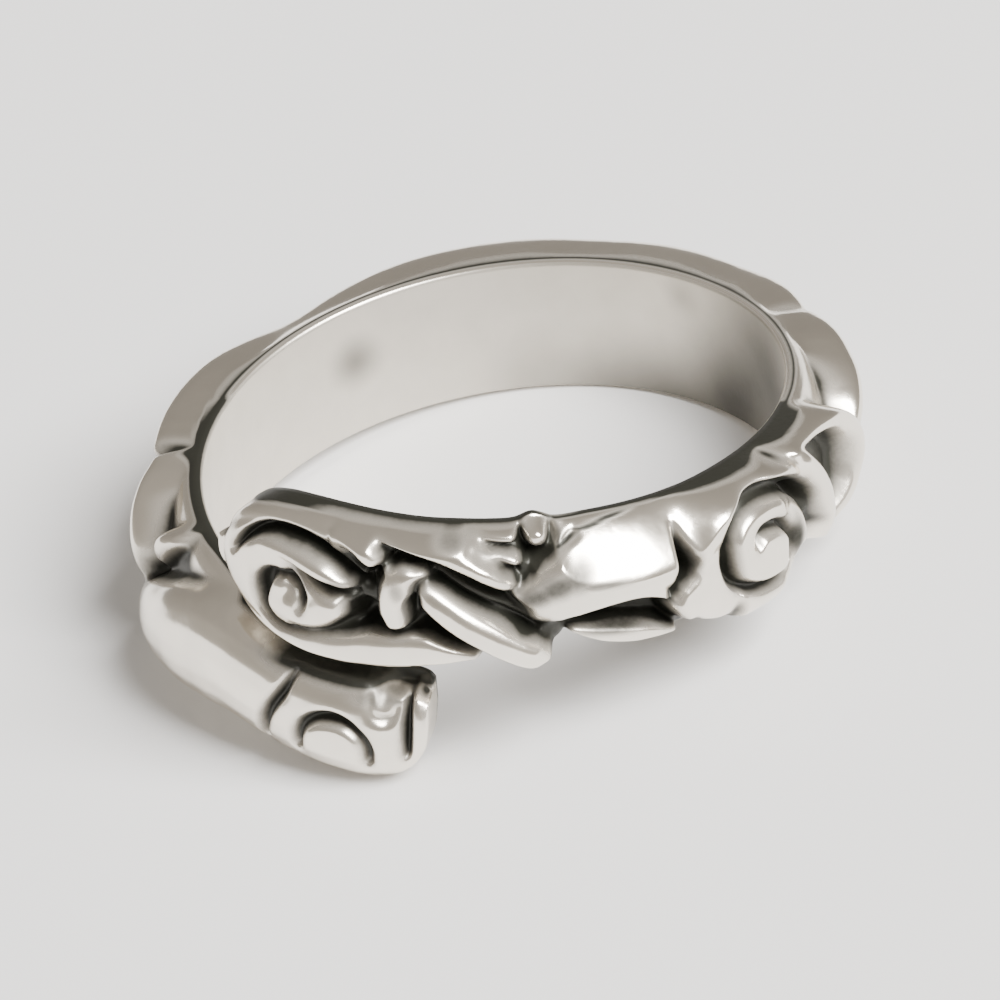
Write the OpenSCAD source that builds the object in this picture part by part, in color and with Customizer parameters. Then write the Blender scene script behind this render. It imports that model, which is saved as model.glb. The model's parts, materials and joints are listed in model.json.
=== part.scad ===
// Adjustable bypass ring: one cast silver strip wound once and a bit round the finger,
// with raised scrolls, limbs and knot work. The strip lies as the ring rests on a table.

/* [Finger hole] */
// Inside diameter of the ring
bore_d = 17; // [15:0.5:20]
// Rise of the strip in one full turn round the finger
pitch = 4.6; // [4.5:0.05:5]

/* [Strip] */
// Width of the strip where it is plain
strip_w = 4.3; // [3.9:0.1:4.4]
// Thickness at the two thin edges
edge_t = 0.25; // [0.2:0.05:0.4]
// Thickness of the sunk ground in the middle of the strip
ground_t = 1.1; // [0.9:0.05:1.2]
// Share of the relief's full height
relief = 1; // [0.6:0.05:1]

/* [Resting pose] */
// Tilt of the ring's axis towards the right when it lies on a table
lean_right = 7.4; // [7:0.1:9]
// Tilt of the ring's axis towards the back when it lies on a table
lean_back = 4.1; // [3:0.1:6]
// Height of the middle of the bore above the table
rest_height = 3.32; // [3:0.01:5]
// Place of the middle of the bore to the right of the middle of the whole ring
rest_right = 0.1; // [-1:0.01:1]
// Place of the middle of the bore behind the middle of the whole ring
rest_back = -0.05; // [-1:0.01:1]

/* [Fineness] */
// Spacing of the surface's cross sections along the strip
step_along = 0.25; // [0.25:0.01:0.5]
// Number of strips of surface across the band
across_n = 17; // [8:1:17]

/* [Hidden] */

silver = [0.72, 0.70, 0.67];
bore_r = bore_d / 2;
// Radius at which lengths along the strip are measured, in the middle of the relief
relief_r = bore_r + 1.6;
mm_per_deg = PI * relief_r / 180;
// The blank's inner face lies inside the bore, which then cuts it clean
blank_depth = 0.3;
curve_steps = 3;

// Angles run clockwise seen from above, from 0 at the front, through 360 at the front again.
// Across is measured upwards from the middle of the strip.
// Width of the strip that the tables are drawn for
drawn_w = 4.3;
// Edge line of the strip: [angle, low edge, high edge, width and fullness of the fall to the high edge],
// where a fullness of 1 is a straight slope and 2 a quarter ellipse
EDGES = [
    [15.2, 0.5, 1.2, 0.6, 1.6], [16, -0.35, 1.35, 0.6, 1.6], [17.8, -1.1, 1.45, 0.7, 1.6],
    [21, -1.65, 1.5, 0.8, 1.6], [26, -1.95, 1.5, 0.8, 1.6], [32, -2.1, 1.5, 0.8, 1.6],
    [40, -2.12, 1.5, 0.8, 1.6], [47, -2.12, 1.62, 0.8, 1.6], [55, -2.15, 1.95, 0.8, 1.7],
    [70, -2.15, 2.15, 0.6, 1.8], [290, -2.15, 2.15, 0.6, 1.8], [302, -2.2, 2.15, 0.9, 1.8],
    [315, -2.25, 2.12, 0.95, 1.8], [323, -2.22, 2.08, 1.3, 1.6], [329, -2.12, 2.07, 2.1, 1.4],
    [336, -2.08, 2.07, 2.3, 1.4], [344, -1.98, 2.07, 2.3, 1.4], [350.5, -1.55, 2.05, 1.8, 1.4],
    [354.3, -1.95, 2.2, 0.5, 1.6], [357.8, -2.2, 2.08, 0.7, 1.6], [362, -2.25, 2.04, 0.9, 1.8],
    [368, -2.28, 2.02, 0.9, 1.8], [374, -2.4, 1.98, 0.9, 1.8], [382, -2.6, 1.96, 0.95, 1.8],
    [390, -2.74, 1.93, 0.95, 1.8], [397, -2.74, 1.84, 0.9, 1.8], [403, -2.55, 1.66, 0.8, 1.8],
    [408.3, -2.15, 1.3, 0.7, 1.8], [412, -1.6, 0.8, 0.6, 1.8], [414.5, -1, 0.2, 0.6, 1.8],
    [415.6, -0.55, -0.2, 0.6, 1.8]
];

// Raised strands: [depth of section, rows of [angle, across, half width, crown]]
// A strand's section is half an ellipse whose height is its half width times the depth.
UPPER_HEAD = [
    // Head mass
    [0.22, [[413, -0.6, 0.6, 1.35], [410, -0.55, 1.2, 1.5], [405, -0.5, 1.75, 1.66],
            [399, -0.5, 2.05, 1.73], [393, -0.5, 2.05, 1.75], [389.5, -0.45, 1.8, 1.74],
            [387.5, -0.4, 1.2, 1.7]]],
    // Crest
    [0.9, [[413.8, -0.5, 0.3, 1.25], [412, 0.15, 0.33, 1.35], [409.5, 0.75, 0.34, 1.42],
           [405.5, 1.22, 0.34, 1.4], [401, 1.52, 0.33, 1.35], [396, 1.66, 0.33, 1.3],
           [389, 1.7, 0.34, 1.32], [381, 1.78, 0.36, 1.42], [375.5, 1.84, 0.4, 1.55],
           [370, 1.78, 0.46, 1.7], [366, 1.54, 0.5, 1.78], [363, 1.15, 0.47, 1.78],
           [360.3, 0.87, 0.38, 1.65], [358.6, 0.66, 0.24, 1.4]]],
    // Jaw
    [0.55, [[413, -1, 0.3, 1.25], [409.5, -1.6, 0.38, 1.35], [405, -2.12, 0.42, 1.45],
            [399, -2.38, 0.42, 1.5], [391, -2.28, 0.5, 1.52], [386, -2.05, 0.6, 1.56],
            [381, -1.88, 0.64, 1.58], [376, -1.76, 0.6, 1.54], [371, -1.76, 0.46, 1.44],
            [367, -1.82, 0.3, 1.28]]],
    // Brow
    [0.75, [[404, 0.5, 0.25, 1.6], [400, 0.7, 0.35, 1.72], [396, 0.68, 0.45, 1.82],
            [392.5, 0.5, 0.6, 1.92], [389.3, 0.32, 0.62, 1.95], [387, 0.18, 0.48, 1.85],
            [385.8, 0.1, 0.3, 1.6]]],
    // Tongue
    [0.6, [[401, -1.1, 0.45, 1.76], [397, -1.15, 0.52, 1.82], [392.5, -0.95, 0.55, 1.8],
           [389.5, -0.65, 0.5, 1.76], [387.6, -0.45, 0.32, 1.6]]]
];
FRONT_KNOT = [
    // Branch
    [0.9, [[388.5, 1.5, 0.3, 1.45], [385.8, 1.62, 0.36, 1.6], [383.6, 1.6, 0.36, 1.78],
           [381.9, 1.3, 0.32, 1.84], [380.3, 1.08, 0.22, 1.78]]],
    // Branch rib
    [0.9, [[389.3, 1.18, 0.1, 1.4], [386, 0.88, 0.12, 1.42], [383.2, 0.58, 0.12, 1.42],
           [381.8, 0.4, 0.08, 1.3]]],
    // Strap
    [0.8, [[374.2, 0.82, 0.36, 1.72], [376.4, 0.72, 0.5, 1.84], [378.6, 0.32, 0.48, 1.87],
           [379.8, -0.25, 0.38, 1.82], [380, -0.85, 0.34, 1.72], [379.9, -1.1, 0.32, 1.6]]],
    // Rod
    [0.9, [[373.7, 0.35, 0.42, 1.8], [371.5, 0.1, 0.54, 1.92], [368, -0.38, 0.6, 2],
           [364, -0.86, 0.6, 2], [360, -1.3, 0.6, 1.95], [357, -1.6, 0.54, 1.86],
           [355.4, -1.72, 0.4, 1.7]]],
    // Under rod
    [0.9, [[371.5, 1.1, 0.13, 1.42], [368.5, 0.86, 0.2, 1.52], [365, 0.46, 0.22, 1.52],
           [361.5, 0.04, 0.14, 1.42]]],
    // Leaf
    [0.9, [[367.5, 1.82, 0.12, 1.1], [364, 1.8, 0.22, 1.25], [360.5, 1.76, 0.32, 1.35],
           [358.3, 1.7, 0.28, 1.3]]],
    // Twig
    [0.9, [[364.3, 1.42, 0.1, 1.2], [361.8, 1.25, 0.2, 1.35], [359.6, 1.12, 0.26, 1.42],
           [358.2, 1.02, 0.22, 1.38]]],
    // Berry
    [0.95, [[354.6, 1.86, 0.38, 1.36], [354, 1.86, 0.4, 1.36]]],
    // Low cord
    [0.8, [[350, -1.2, 0.12, 1.25], [345.5, -1.5, 0.27, 1.35], [340, -1.7, 0.32, 1.38],
           [335, -1.86, 0.26, 1.33], [331.5, -1.98, 0.18, 1.2]]]
];
FRONT_LIMB = [
    // Thigh
    [0.5, [[359.5, 0, 0.3, 1.35], [357.5, 0.02, 0.65, 1.5], [355, 0.08, 0.95, 1.65],
           [352, 0.3, 1.1, 1.78], [348.5, 0.62, 1.25, 1.9], [344, 0.9, 1.34, 1.97], [339, 1.05, 1.36, 2],
           [334, 1.1, 1.34, 2], [328, 1.1, 1.3, 1.98]]],
    // Thigh tail
    [0.8, [[341, 0, 0.25, 1.75], [337.5, -0.08, 0.28, 1.78], [335, -0.3, 0.22, 1.72],
           [333.6, -0.55, 0.16, 1.55]]],
    // Haunch
    [0.4, [[328.9, -0.9, 0.7, 1.74], [326.5, -0.8, 1.2, 1.84], [323.5, -0.55, 1.75, 1.95],
           [318, -0.35, 1.95, 2.02], [311, -0.3, 1.95, 2.02], [307, -0.35, 1.75, 1.97],
           [304.5, -0.38, 1.3, 1.88], [303, -0.4, 0.75, 1.75]]],
    // Arm
    [0.8, [[327, 1.1, 1, 1.95], [321.5, 1.4, 0.72, 1.88], [315.5, 1.66, 0.45, 1.8],
           [310, 1.62, 0.46, 1.76], [305.5, 1.45, 0.46, 1.74], [303, 1.25, 0.4, 1.66]]]
];
RIGHT_KNOT = [
    // Hook
    [0.9, [[301, 1.75, 0.3, 1.55], [299.4, 1.3, 0.4, 1.85], [297.4, 0.55, 0.45, 2.02],
           [295.6, -0.25, 0.42, 2], [294.2, -0.95, 0.4, 1.85], [293.8, -1.4, 0.33, 1.65]]],
    // Right over
    [0.9, [[303.4, 1.84, 0.2, 1.25], [300.6, 1.8, 0.28, 1.4], [297, 1.84, 0.3, 1.4],
           [291.5, 1.8, 0.32, 1.5], [287, 1.62, 0.36, 1.75], [283.5, 1.22, 0.42, 2],
           [281, 0.65, 0.45, 2.2], [280.2, 0, 0.45, 2.25], [281.4, -0.62, 0.42, 2.12],
           [284.2, -1.15, 0.36, 1.9], [287.3, -1.5, 0.28, 1.55]]],
    // Right under
    [0.9, [[277, -0.4, 0.32, 1.8], [273, 0.35, 0.45, 2.1], [268, 0.92, 0.5, 2.2], [262, 1.3, 0.5, 2.1],
           [256, 1.55, 0.45, 1.95], [250, 1.68, 0.36, 1.7]]],
    // Right low
    [0.9, [[281, -1.85, 0.2, 1.3], [276, -1.5, 0.36, 1.75], [270, -1.05, 0.44, 1.95],
           [264, -0.85, 0.44, 1.9], [258, -1.1, 0.38, 1.75], [254, -1.5, 0.28, 1.5]]]
];
LOWER_END = [
    // Neck
    [0.6, [[18.5, 0.1, 1, 1.4], [22, -0.15, 1.5, 1.65], [27, -0.28, 1.75, 1.8], [33, -0.3, 1.8, 1.88],
           [40, -0.28, 1.8, 1.88], [48, -0.1, 1.9, 1.93], [56, 0, 1.9, 2.05], [64, -0.25, 1.75, 2.2],
           [72, -0.6, 1.5, 2.35], [80, -1, 1.15, 2.35], [87, -1.45, 0.8, 2.1], [92, -1.8, 0.45, 1.6]]],
    // Left inner
    [0.9, [[76.5, 1.85, 0.25, 1.3], [79.3, 1.5, 0.38, 1.6], [81.6, 1, 0.38, 1.65], [83, 0.5, 0.26, 1.4]]],
    // Left outer
    [0.9, [[100, 1.75, 0.36, 1.6], [95, 1.35, 0.5, 2], [91.5, 0.7, 0.55, 2.25], [89.8, -0.1, 0.5, 2.2],
           [90.3, -0.9, 0.4, 1.9]]]
];
BACK_BORDERS = [
    // Back border
    [0.9, [[249, 1.62, 0.28, 1.6], [240, 1.72, 0.34, 1.82], [228, 1.74, 0.34, 1.74],
           [214, 1.76, 0.36, 1.86], [200, 1.74, 0.34, 1.78], [185, 1.76, 0.37, 1.95],
           [168, 1.74, 0.35, 1.82], [156, 1.7, 0.3, 1.55], [144, 1.66, 0.24, 1.3], [135, 1.7, 0.3, 1.6],
           [126, 1.74, 0.36, 1.86], [114, 1.72, 0.36, 1.86], [104, 1.7, 0.32, 1.7]]],
    // Low border
    [0.9, [[254, -1.78, 0.2, 1.3], [240, -1.78, 0.28, 1.5], [180, -1.78, 0.3, 1.5],
           [120, -1.78, 0.28, 1.5], [98, -1.78, 0.2, 1.3]]]
];
// Limb and haunch of the back, placed by the angle of its spiral
BACK_LIMB = [
    // Limb
    [0.6, [[43, 0.2, 0.3, 1.35], [38, 0.2, 0.8, 1.7], [31, 0, 1.15, 1.9], [24, -0.1, 1.2, 1.95],
           [17, -0.1, 1.1, 1.95]]],
    // Haunch
    [0.5, [[17, 0.4, 1, 1.75], [12, 0.25, 1.35, 1.9], [5, 0, 1.6, 1.95], [-2, 0, 1.55, 1.92],
           [-8, -0.1, 1.1, 1.7]]]
];

// Cut grooves: [depth, rows of [angle, across, half width]]
GROOVES = [
    // Mane
    [0.62, [[409.6, -0.12, 0.08], [407.6, 0.4, 0.13], [405.4, 0.82, 0.17], [402.5, 1.18, 0.19],
            [399.5, 1.34, 0.2], [396, 1.4, 0.21], [392, 1.32, 0.19], [389, 1.06, 0.16],
            [386.5, 0.72, 0.14], [384.8, 0.46, 0.13], [383.3, 0.24, 0.11]]],
    // Curl
    [0.5, [[395.4, -1, 0.09], [394.9, -0.75, 0.12], [395.4, -0.42, 0.15], [396.8, -0.15, 0.16],
           [398.6, -0.08, 0.16], [400.8, -0.2, 0.2], [402.6, -0.55, 0.26], [403.5, -1, 0.29],
           [403.3, -1.5, 0.29], [401.8, -1.84, 0.24], [398.8, -1.94, 0.16], [395.2, -1.88, 0.13]]],
    // Curl foot
    [0.5, [[395.2, -1.88, 0.13], [391.5, -1.68, 0.18], [389, -1.46, 0.26], [387, -1.22, 0.32],
           [385, -1.02, 0.36]]],
    // Pit
    [0.55, [[387.4, -0.5, 0.2], [386, -0.72, 0.38], [384, -0.88, 0.46], [382.7, -0.92, 0.4]]],
    // Pit corner
    [0.45, [[377, -0.75, 0.16], [375.2, -0.85, 0.26], [372.5, -1.12, 0.22], [369.5, -1.42, 0.16],
            [366.5, -1.68, 0.1]]],
    // Jaw line
    [0.35, [[383.5, -1.28, 0.12], [380, -1.22, 0.12], [376.5, -1.1, 0.12], [373, -1.15, 0.1]]],
    // Gap
    [0.5, [[381.8, 1.76, 0.05], [380, 1.58, 0.13], [377.5, 1.46, 0.18], [375, 1.36, 0.19],
           [372, 1.24, 0.18], [369, 1.04, 0.19], [366.5, 0.82, 0.2], [363, 0.42, 0.2], [360, 0.02, 0.18],
           [357, -0.35, 0.12]]],
    // Rod shade
    [0.45, [[375.2, 0.2, 0.1], [374.6, 0.62, 0.11], [372.6, 0.78, 0.12], [370, 0.58, 0.12],
            [366, 0.12, 0.12], [362, -0.36, 0.12], [358.5, -0.78, 0.15], [356, -1.08, 0.13]]],
    // Strap side
    [0.4, [[377.6, -0.95, 0.12], [377.4, -0.45, 0.14], [376.6, -0.05, 0.15], [375.3, 0.22, 0.14]]],
    // Brow line
    [0.24, [[398, 0.52, 0.06], [395.5, 0.34, 0.11], [393, 0.02, 0.14], [390.5, -0.24, 0.15],
            [387.5, -0.22, 0.13], [385.6, -0.05, 0.1]]],
    // Berry slot
    [0.6, [[357, 1.95, 0.09], [356.9, 1.68, 0.13], [356.7, 1.38, 0.15], [356.7, 1.05, 0.13]]],
    // Under thigh
    [0.8, [[351.5, -0.78, 0.06], [348.8, -0.8, 0.18], [345, -0.8, 0.34], [341, -0.82, 0.46],
           [337.4, -0.92, 0.5], [334.6, -1.16, 0.4], [332.4, -1.45, 0.26]]],
    // Thigh top
    [0.5, [[357.2, 0.95, 0.1], [355, 1.25, 0.12], [352.7, 1.56, 0.12], [351.2, 1.76, 0.08]]],
    // Haunch scroll
    [0.6, [[300.9, 0.4, 0.22], [302.8, 0.7, 0.29], [306, 1, 0.34], [310, 1.24, 0.34],
           [314.5, 1.34, 0.34], [318, 1.2, 0.32], [320.8, 0.82, 0.26], [322.2, 0.3, 0.2]]],
    // Haunch spiral
    [0.45, [[322.2, 0.3, 0.24], [322, -0.4, 0.23], [320.3, -1.05, 0.2], [317, -1.45, 0.18],
            [313, -1.6, 0.18], [309.3, -1.4, 0.19], [307, -0.95, 0.18], [306.8, -0.35, 0.18],
            [308.4, 0.08, 0.19], [311, 0.26, 0.19], [313.5, 0.16, 0.18], [314.8, -0.1, 0.13]]],
    // Scroll side
    [0.5, [[301.2, 0.1, 0.17], [300.4, -0.5, 0.19], [299.4, -1.1, 0.2], [298.6, -1.75, 0.2]]],
    // Thigh notch
    [0.7, [[330.2, 1.28, 0.05], [330.4, 1, 0.13], [330.4, 0.68, 0.26], [330.2, 0.34, 0.36],
           [330.9, 0.04, 0.28], [332, -0.3, 0.13], [332.2, -0.7, 0.12]]],
    // Eye ring
    [0.28, [[38.7, -1.2, 0.12], [38, -0.7, 0.14], [36, -0.2, 0.16], [33, 0.08, 0.18], [30, 0.12, 0.18],
            [27.2, -0.15, 0.15], [25.7, -0.6, 0.14], [25.9, -1.15, 0.12]]],
    // Collar
    [0.28, [[39.2, 0.85, 0.1], [41, 0.35, 0.14], [43.5, -0.3, 0.14], [45.5, -1, 0.13], [46.5, -1.6, 0.1]]],
    // Snout
    [0.3, [[18.6, 1.05, 0.1], [19, 0.5, 0.13], [19.3, -0.2, 0.13], [19.6, -0.85, 0.1]]],
    // Nostril
    [0.25, [[25, 0.95, 0.08], [25, 0.65, 0.1], [23.9, 0.4, 0.11], [22.6, 0.33, 0.11], [21.4, 0.42, 0.11],
            [20.6, 0.7, 0.1]]]
];
// Spiral groove of the back's haunch: depth, number of steps, first angle and turn at each step, and the
// first radius and half width, each with its loss at each step
spiral_depth = 0.45;
spiral_n = 13;
spiral_turn = [150, 50];
spiral_r = [1.3, 0.085];
spiral_half_w = [0.2, 0.006];
BACK_GROOVE = [spiral_depth, [for (t = [0:spiral_n])
    let (a = spiral_turn[0] + spiral_turn[1] * t, r = spiral_r[0] - spiral_r[1] * t)
    [r * cos(a) / mm_per_deg, r * sin(a), spiral_half_w[0] - spiral_half_w[1] * t]]];

// Angles of the back limb's spiral centres
BACK_LIMB_AT = [222, 168];
// Plait of two strands: [first angle, last angle], its wave length in degrees and its swing across
PLAITS = [[232, 250], [106, 140]];
plait_wave = 36;
plait_swing = 1.05;
// Section of the plait's strands, and how far one rises above the other where they cross
plait_depth = 0.9;
plait_half_w = 0.45;
plait_crown = 1.55;
plait_lift = 0.15;

// Row turned by an angle along the strip
function shifted(rows, by) = [for (r = rows) [for (i = [0:len(r) - 1]) r[i] + (i == 0 ? by : 0)]];
function limb_at(by) = [for (s = BACK_LIMB) [s[0], shifted(s[1], by)]];
function plait(span, side) = [plait_depth, [for (a = [span[0]:plait_wave / 8:span[1]])
    let (turn = (a - span[0]) * 360 / plait_wave)
    [a, side * plait_swing * sin(turn), plait_half_w, plait_crown + side * plait_lift * cos(turn)]]];

STRANDS = concat(UPPER_HEAD, FRONT_KNOT, FRONT_LIMB, RIGHT_KNOT, LOWER_END, BACK_BORDERS,
    [for (a = BACK_LIMB_AT) for (s = limb_at(a)) s],
    [for (p = PLAITS) for (side = [-1, 1]) plait(p, side)]);
CUTS = concat(GROOVES, [for (a = BACK_LIMB_AT) [BACK_GROOVE[0], shifted(BACK_GROOVE[1], a)]]);

// Smooth curve through rows of numbers
function curve(rows) = [
    for (i = [0:len(rows) - 2]) for (k = [0:curve_steps - 1])
        let (t = k / curve_steps, a = rows[max(i - 1, 0)], b = rows[i], c = rows[i + 1],
             d = rows[min(i + 2, len(rows) - 1)])
        (2 * b + (c - a) * t + (2 * a - 5 * b + 4 * c - d) * t * t + (3 * b - a - 3 * c + d) * t * t * t) / 2,
    rows[len(rows) - 1]
];
// Rows with their angle turned into a length along the strip
function laid_flat(rows) = [for (r = rows) [for (i = [0:len(r) - 1]) i == 0 ? r[0] * mm_per_deg : r[i]]];
// Short pieces of every curve: [first row, last row, the strand's own number]
function pieces(list) = [
    for (s = list) let (c = curve(laid_flat(s[1]))) for (i = [0:len(c) - 2]) [c[i], c[i + 1], s[0]]
];
function reaches(s, x) = min(s[0][0] - s[0][2], s[1][0] - s[1][2]) < x
    && x < max(s[0][0] + s[0][2], s[1][0] + s[1][2]);

STRAND_PIECES = pieces(STRANDS);
CUT_PIECES = pieces(CUTS);

// Row of a piece that lies nearest to a point
function nearest(p, s) =
    let (d = [s[1][0] - s[0][0], s[1][1] - s[0][1]], q = [p[0] - s[0][0], p[1] - s[0][1]])
    s[0] + (s[1] - s[0]) * min(1, max(0, (q * d) / (d * d)));
// Squared distance from a point to a row, as a share of the row's half width
function spread(p, m) = ((p[0] - m[0]) ^ 2 + (p[1] - m[1]) ^ 2) / m[2] ^ 2;
function strand_height(p, s) =
    let (m = nearest(p, s), u = spread(p, m)) u >= 1 ? 0 : m[3] - s[2] * m[2] * (1 - sqrt(1 - u));
function cut_depth(p, s) =
    let (m = nearest(p, s), u = spread(p, m)) u >= 1 ? 0 : s[2] * sqrt(1 - u);

// Ground profile from one edge of the strip, at -1, to the other, at 1
function ground(side) = edge_t + (ground_t - edge_t) * sqrt(max(0, 1 - side ^ 2));
// The relief rolls over towards the low edge and the ends within this width, and rises to this height
roll_w = 0.42;
roll_t = 2.15;
// Fullness of the rolls: 1 is a straight slope and 2 a quarter ellipse
low_fullness = 2;
function roll(gap, fullness) = (1 - (1 - min(1, gap)) ^ fullness) ^ (1 / fullness);

function thickness(p, side, rolled, strands, cuts) =
    let (low = ground(side), up = max([low, for (s = strands) strand_height(p, s)]),
         down = max([0, for (s = cuts) cut_depth(p, s)]))
    max(edge_t, min(low + (up - low) * relief, edge_t + roll_t * rolled) - down);

// Slope of an edge line at one of its rows, and the line itself as a smooth curve of the angle
function slope(i, k) =
    let (a = EDGES[max(i - 1, 0)], b = EDGES[min(i + 1, len(EDGES) - 1)]) (b[k] - a[k]) / (b[0] - a[0]);
function edge_line(angle, k) =
    let (i = max([0, for (n = [1:len(EDGES) - 2]) if (EDGES[n][0] <= angle) n]), a = EDGES[i], b = EDGES[i + 1],
         span = b[0] - a[0], t = (angle - a[0]) / span)
    a[k] + (b[k] - a[k]) * t * t * (3 - 2 * t)
        + span * (slope(i, k) * t * (1 - t) ^ 2 - slope(i + 1, k) * t * t * (1 - t));

// Columns of the surface lie closer together towards the two worked ends of the strip
end_low = EDGES[0][0];
end_high = EDGES[len(EDGES) - 1][0];
column_n = ceil((end_high - end_low) * mm_per_deg / step_along);
crowding = 0.6;
function column_angle(i) =
    let (t = i / column_n) end_low + (end_high - end_low) * (t - crowding * sin(360 * t) / (2 * PI));
// Points of a column lie closer together towards its two edges
edge_crowding = 0.6;
function side_at(line) = edge_crowding * sin(90 * line) + (1 - edge_crowding) * line;

// Place on the winding at an angle, a distance across the strip and a thickness above the bore
function wound(angle, across, t) = [
    -(bore_r + t) * sin(angle),
    -(bore_r + t) * cos(angle),
    pitch * (angle - (end_low + end_high) / 2) / 360 + across * strip_w / drawn_w
];

function outer_column(angle) =
    let (x = angle * mm_per_deg, low = edge_line(angle, 1), high = edge_line(angle, 2), half = (high - low) / 2,
         end_gap = min(angle - end_low, end_high - angle) * mm_per_deg, shoulder = edge_line(angle, 3),
         strands = [for (s = STRAND_PIECES) if (reaches(s, x)) s],
         cuts = [for (s = CUT_PIECES) if (reaches(s, x)) s])
    [for (j = [0:across_n])
        let (side = side_at(2 * j / across_n - 1), across = (low + high) / 2 + side * half,
             rolled = min(roll(min((1 + side) * half, end_gap) / roll_w, low_fullness),
                          roll((1 - side) * half / shoulder, edge_line(angle, 4))))
        wound(angle, across, thickness([x, across], side, rolled, strands, cuts))];

// A column of points goes up the outer face and comes back down the inner face
function column(angle) = concat(outer_column(angle),
    [for (k = [2, 1]) wound(angle, edge_line(angle, k), -blank_depth)]);

module wound_strip() {
    row_n = across_n + 3;
    inner_high = across_n + 1;
    inner_low = across_n + 2;
    last = column_n * row_n;
    points = [for (i = [0:column_n]) each column(column_angle(i))];
    walls = [for (i = [0:column_n - 1]) for (j = [0:row_n - 1])
        let (a = i * row_n + j, b = i * row_n + (j + 1) % row_n, c = b + row_n, d = a + row_n)
        each [[a, c, b], [a, d, c]]];
    low_cap = [for (j = [0:across_n]) [inner_low, j, j + 1]];
    high_cap = [for (j = [0:across_n]) [last + inner_low, last + j + 1, last + j]];
    polyhedron(points, concat(walls, low_cap, high_cap));
}

module cast_band() {
    bore_length = 6 * strip_w;
    bore_facets = 96;
    color(silver)
        translate([rest_right, rest_back, rest_height])
            rotate([-lean_back, 0, 0])
                rotate([0, lean_right, 0])
                    difference() {
                        wound_strip();
                        cylinder(h = bore_length, r = bore_r, center = true, $fn = bore_facets);
                    }
}

cast_band();
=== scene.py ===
"""Adjustable bypass ring in cast, blackened silver, worked flat on the bench and then wound round the finger."""

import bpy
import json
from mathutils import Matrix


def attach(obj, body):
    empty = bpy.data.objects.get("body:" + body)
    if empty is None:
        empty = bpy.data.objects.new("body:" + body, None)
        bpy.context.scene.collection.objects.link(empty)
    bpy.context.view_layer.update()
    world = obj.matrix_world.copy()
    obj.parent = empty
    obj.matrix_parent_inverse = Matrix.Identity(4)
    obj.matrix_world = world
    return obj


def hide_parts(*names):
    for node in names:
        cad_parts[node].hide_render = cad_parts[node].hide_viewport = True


bl_info = {
    "name": "Adjustable Bypass Ring",
    "version": (1, 0, 0),
    "blender": (4, 5, 0),
    "location": "3D View > Sidebar > Ring",
    "description": "Lays out, carves and winds the relief strip of a cast silver ring",
    "category": "Add Mesh",
}

import json
import math

import bpy
import numpy as np
from bpy.props import FloatProperty, FloatVectorProperty, IntProperty, PointerProperty
from mathutils import Matrix, Vector

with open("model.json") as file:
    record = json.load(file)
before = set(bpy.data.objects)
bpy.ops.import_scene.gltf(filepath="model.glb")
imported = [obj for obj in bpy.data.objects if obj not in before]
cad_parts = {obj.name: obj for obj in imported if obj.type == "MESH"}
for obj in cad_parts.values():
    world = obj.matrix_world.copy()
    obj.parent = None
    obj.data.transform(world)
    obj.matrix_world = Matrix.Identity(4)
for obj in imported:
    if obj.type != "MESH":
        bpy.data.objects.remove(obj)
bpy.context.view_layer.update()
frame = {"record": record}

# The bench works in millimetres; the finished ring is in metres
BENCH = 0.001
NODE = "cast_band"
BORE = next(m for m in frame["record"]["mounts"] if m["name"] == "finger_bore")
BORE_RADIUS = BORE["dims"]["r_mm"]
# Thickness at which lengths along the strip are measured, in the middle of the relief
RELIEF_MIDDLE = 1.6
WRAP_RADIUS = BORE_RADIUS + RELIEF_MIDDLE
MM_PER_DEGREE = math.radians(WRAP_RADIUS)

# In all tables, angles run clockwise seen from above, from 0 at the front, through 360 at the front again.
# Across is measured upwards from the middle of the strip, and crown is thickness above the bore, in millimetres.

# Edge line of the strip: angle, low edge, high edge, and the width and fullness of the relief's fall to
# the high edge, where a fullness of 1 is a straight slope and 2 a quarter ellipse
EDGES = [
    (15.2, 0.5, 1.2, 0.6, 1.6), (16, -0.35, 1.35, 0.6, 1.6), (17.8, -1.1, 1.45, 0.7, 1.6), (21, -1.65, 1.5, 0.8, 1.6),
    (26, -1.95, 1.5, 0.8, 1.6), (32, -2.1, 1.5, 0.8, 1.6), (40, -2.12, 1.5, 0.8, 1.6), (47, -2.12, 1.62, 0.8, 1.6),
    (55, -2.15, 1.95, 0.8, 1.7), (70, -2.15, 2.15, 0.6, 1.8), (290, -2.15, 2.15, 0.6, 1.8), (302, -2.2, 2.15, 0.9, 1.8),
    (315, -2.25, 2.12, 0.95, 1.8), (323, -2.22, 2.08, 1.3, 1.6), (329, -2.12, 2.07, 2.36, 1.34),
    (336, -2.08, 2.07, 2.5, 1.37), (344, -1.98, 2.07, 2.38, 1.37), (350.5, -1.55, 2.05, 1.95, 1.38),
    (354.3, -1.95, 2.26, 0.5, 1.6), (357.8, -2.2, 2.08, 0.7, 1.6), (362, -2.25, 2.04, 0.9, 1.8),
    (368, -2.28, 2.02, 0.9, 1.8), (374, -2.4, 1.98, 0.9, 1.8), (382, -2.6, 1.96, 0.95, 1.8),
    (390, -2.74, 1.93, 0.95, 1.8), (397, -2.74, 1.84, 0.9, 1.8), (403, -2.55, 1.66, 0.8, 1.8),
    (408.3, -2.15, 1.3, 0.7, 1.8), (412, -1.6, 0.8, 0.6, 1.8), (414.5, -1.0, 0.2, 0.6, 1.8),
    (415.6, -0.55, -0.2, 0.6, 1.8),
]
END_LOW = EDGES[0][0]
END_HIGH = EDGES[-1][0]
STRIP_LENGTH = (END_HIGH - END_LOW) * MM_PER_DEGREE

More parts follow.
